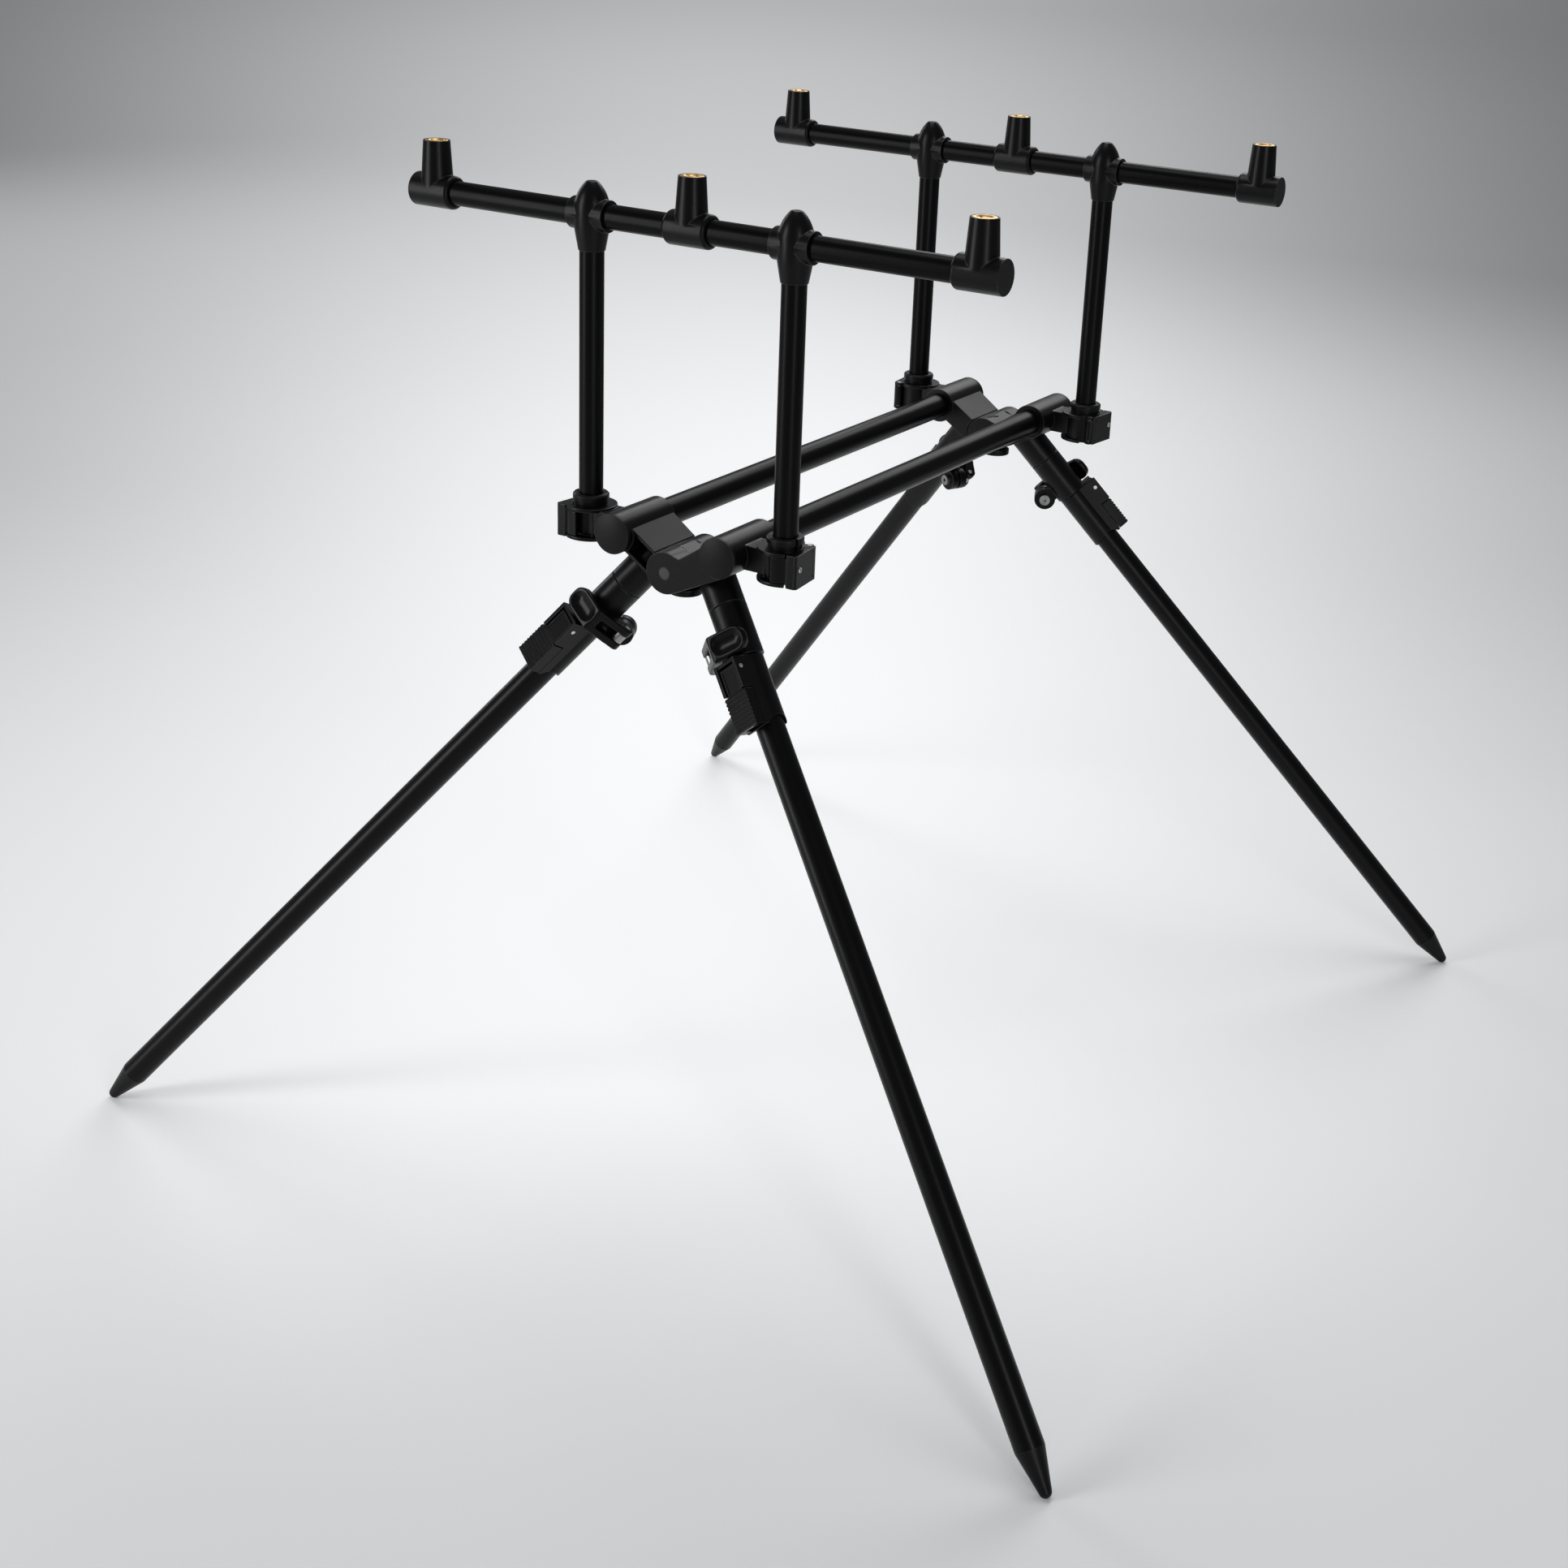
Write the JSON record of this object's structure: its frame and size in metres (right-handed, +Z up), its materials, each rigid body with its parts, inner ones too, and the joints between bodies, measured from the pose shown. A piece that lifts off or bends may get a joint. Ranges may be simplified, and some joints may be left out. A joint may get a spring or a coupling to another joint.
{
  "type": "rod pod",
  "caption": "Low folding rod pod for carp fishing: twin main tubes, hinged end brackets, goal posts with threaded rod rests and telescopic legs with cam and flip locks.",
  "frame": {"origin": "on the ground, under the middle of the pod", "axes": "+X to the right along the rod bars, +Y from front to back along the main tubes, +Z up"},
  "size_m": [0.7698, 0.7964, 0.6978],
  "materials": {
    "tube_black": "satin black anodised",
    "leg_tube_black": "satin black anodised",
    "casting_black": "fine-grained matte black",
    "lever_black": "matte black",
    "trim_black": "matte black",
    "bright_steel": "turned steel",
    "brass": "machined brass"
  },
  "bodies": {
    "frame": {"main_tube_left": "tube_black", "main_tube_right": "tube_black", "bracket_front_left": "casting_black", "bracket_front_right": "casting_black", "bracket_back_left": "casting_black", "bracket_back_right": "casting_black", "hinge_screws": "bright_steel", "end_caps": "trim_black", "upright_bushes": "trim_black", "lever_pins": "bright_steel", "leg_clamp_bolts": "bright_steel", "leg_collar_front_left": "casting_black", "leg_collar_front_right": "casting_black", "leg_collar_back_left": "casting_black", "leg_collar_back_right": "casting_black"},
    "front_goal_post": {"rod_bar_front": "tube_black", "rest_tee_front_left": "casting_black", "rest_tee_front_centre": "casting_black", "rest_tee_front_right": "casting_black", "brass_inserts_front": "brass", "cross_fittings_front": "casting_black", "upright_front_left": "tube_black", "upright_front_right": "tube_black"},
    "back_goal_post": {"rod_bar_back": "tube_black", "rest_tee_back_left": "casting_black", "rest_tee_back_centre": "casting_black", "rest_tee_back_right": "casting_black", "brass_inserts_back": "brass", "cross_fittings_back": "casting_black", "upright_back_left": "tube_black", "upright_back_right": "tube_black"},
    "clamp_front_left": {"clamp_lever_front_left": "lever_black"},
    "clamp_front_right": {"clamp_lever_front_right": "lever_black"},
    "clamp_back_left": {"clamp_lever_back_left": "lever_black"},
    "clamp_back_right": {"clamp_lever_back_right": "lever_black"},
    "cam_front_left": {"cam_lever_front_left": "lever_black"},
    "leg_front_left": {"leg_inner_tube_front_left": "leg_tube_black"},
    "lower_leg_front_left": {"lock_sleeve_front_left": "casting_black", "leg_tube_front_left": "leg_tube_black", "foot_front_left": "trim_black"},
    "lock_front_left": {"lock_lever_front_left": "lever_black"},
    "cam_front_right": {"cam_lever_front_right": "lever_black"},
    "leg_front_right": {"leg_inner_tube_front_right": "leg_tube_black"},
    "lower_leg_front_right": {"lock_sleeve_front_right": "casting_black", "leg_tube_front_right": "leg_tube_black", "foot_front_right": "trim_black"},
    "lock_front_right": {"lock_lever_front_right": "lever_black"},
    "cam_back_left": {"cam_lever_back_left": "lever_black"},
    "leg_back_left": {"leg_inner_tube_back_left": "leg_tube_black"},
    "lower_leg_back_left": {"lock_sleeve_back_left": "casting_black", "leg_tube_back_left": "leg_tube_black", "foot_back_left": "trim_black"},
    "lock_back_left": {"lock_lever_back_left": "lever_black"},
    "cam_back_right": {"cam_lever_back_right": "lever_black"},
    "leg_back_right": {"leg_inner_tube_back_right": "leg_tube_black"},
    "lower_leg_back_right": {"lock_sleeve_back_right": "casting_black", "leg_tube_back_right": "leg_tube_black", "foot_back_right": "trim_black"},
    "lock_back_right": {"lock_lever_back_right": "lever_black"}
  },
  "joints": [
    {"name": "front_goal_post_lift", "type": "slide", "parent": "frame", "child": "front_goal_post", "axis": [0, 0, 1], "range_m": [0, 0.02]},
    {"name": "back_goal_post_lift", "type": "slide", "parent": "frame", "child": "back_goal_post", "axis": [0, 0, 1], "range_m": [0, 0.02]},
    {"name": "clamp_front_left_open", "type": "hinge", "parent": "frame", "child": "clamp_front_left", "pos_m": [-0.08664, -0.21082, 0.46378], "axis": [0, 0, -1], "range_deg": [0, 100]},
    {"name": "clamp_front_right_open", "type": "hinge", "parent": "frame", "child": "clamp_front_right", "pos_m": [0.08664, -0.21082, 0.46378], "axis": [0, 0, 1], "range_deg": [0, 100]},
    {"name": "clamp_back_left_open", "type": "hinge", "parent": "frame", "child": "clamp_back_left", "pos_m": [-0.08664, 0.21082, 0.46378], "axis": [0, 0, 1], "range_deg": [0, 100]},
    {"name": "clamp_back_right_open", "type": "hinge", "parent": "frame", "child": "clamp_back_right", "pos_m": [0.08664, 0.21082, 0.46378], "axis": [0, 0, -1], "range_deg": [0, 100]},
    {"name": "cam_front_left_open", "type": "hinge", "parent": "frame", "child": "cam_front_left", "pos_m": [-0.03706, -0.24433, 0.3952], "axis": [0.6009, 0.2853, 0.7466], "range_deg": [0, 75]},
    {"name": "leg_front_left_turn", "type": "hinge", "parent": "frame", "child": "leg_front_left", "pos_m": [-0.0294, -0.2273, 0.44078], "axis": [-0.6009, -0.2853, -0.7466], "range_deg": [-180, 180]},
    {"name": "leg_front_left_slide", "type": "slide", "parent": "leg_front_left", "child": "lower_leg_front_left", "axis": [-0.6009, -0.2853, -0.7466], "range_m": [0, 0.2]},
    {"name": "lock_front_left_open", "type": "hinge", "parent": "lower_leg_front_left", "child": "lock_front_left", "pos_m": [-0.06866, -0.25892, 0.40277], "axis": [-0.7831, 0.3971, 0.4785], "range_deg": [0, 80]},
    {"name": "cam_front_right_open", "type": "hinge", "parent": "frame", "child": "cam_front_right", "pos_m": [0.03706, -0.24433, 0.3952], "axis": [0.6009, -0.2853, -0.7466], "range_deg": [0, 75]},
    {"name": "leg_front_right_turn", "type": "hinge", "parent": "frame", "child": "leg_front_right", "pos_m": [0.0294, -0.2273, 0.44078], "axis": [-0.6009, 0.2853, 0.7466], "range_deg": [-180, 180]},
    {"name": "leg_front_right_slide", "type": "slide", "parent": "leg_front_right", "child": "lower_leg_front_right", "axis": [0.6009, -0.2853, -0.7466], "range_m": [0, 0.2]},
    {"name": "lock_front_right_open", "type": "hinge", "parent": "lower_leg_front_right", "child": "lock_front_right", "pos_m": [0.06193, -0.26026, 0.39786], "axis": [-0.7582, 0.0922, -0.6455], "range_deg": [0, 80]},
    {"name": "cam_back_left_open", "type": "hinge", "parent": "frame", "child": "cam_back_left", "pos_m": [-0.03706, 0.24433, 0.3952], "axis": [-0.6009, 0.2853, -0.7466], "range_deg": [0, 75]},
    {"name": "leg_back_left_turn", "type": "hinge", "parent": "frame", "child": "leg_back_left", "pos_m": [-0.0294, 0.2273, 0.44078], "axis": [0.6009, -0.2853, 0.7466], "range_deg": [-180, 180]},
    {"name": "leg_back_left_slide", "type": "slide", "parent": "leg_back_left", "child": "lower_leg_back_left", "axis": [-0.6009, 0.2853, -0.7466], "range_m": [0, 0.2]},
    {"name": "lock_back_left_open", "type": "hinge", "parent": "lower_leg_back_left", "child": "lock_back_left", "pos_m": [-0.06889, 0.25881, 0.40291], "axis": [0.7802, 0.4123, -0.4704], "range_deg": [0, 80]},
    {"name": "cam_back_right_open", "type": "hinge", "parent": "frame", "child": "cam_back_right", "pos_m": [0.03706, 0.24433, 0.3952], "axis": [-0.6009, -0.2853, 0.7466], "range_deg": [0, 75]},
    {"name": "leg_back_right_turn", "type": "hinge", "parent": "frame", "child": "leg_back_right", "pos_m": [0.0294, 0.2273, 0.44078], "axis": [0.6009, 0.2853, -0.7466], "range_deg": [-180, 180]},
    {"name": "leg_back_right_slide", "type": "slide", "parent": "leg_back_right", "child": "lower_leg_back_right", "axis": [0.6009, 0.2853, -0.7466], "range_m": [0, 0.2]},
    {"name": "lock_back_right_open", "type": "hinge", "parent": "lower_leg_back_right", "child": "lock_back_right", "pos_m": [0.07435, 0.25422, 0.40555], "axis": [0.6164, -0.7602, 0.2056], "range_deg": [0, 80]}
  ]
}
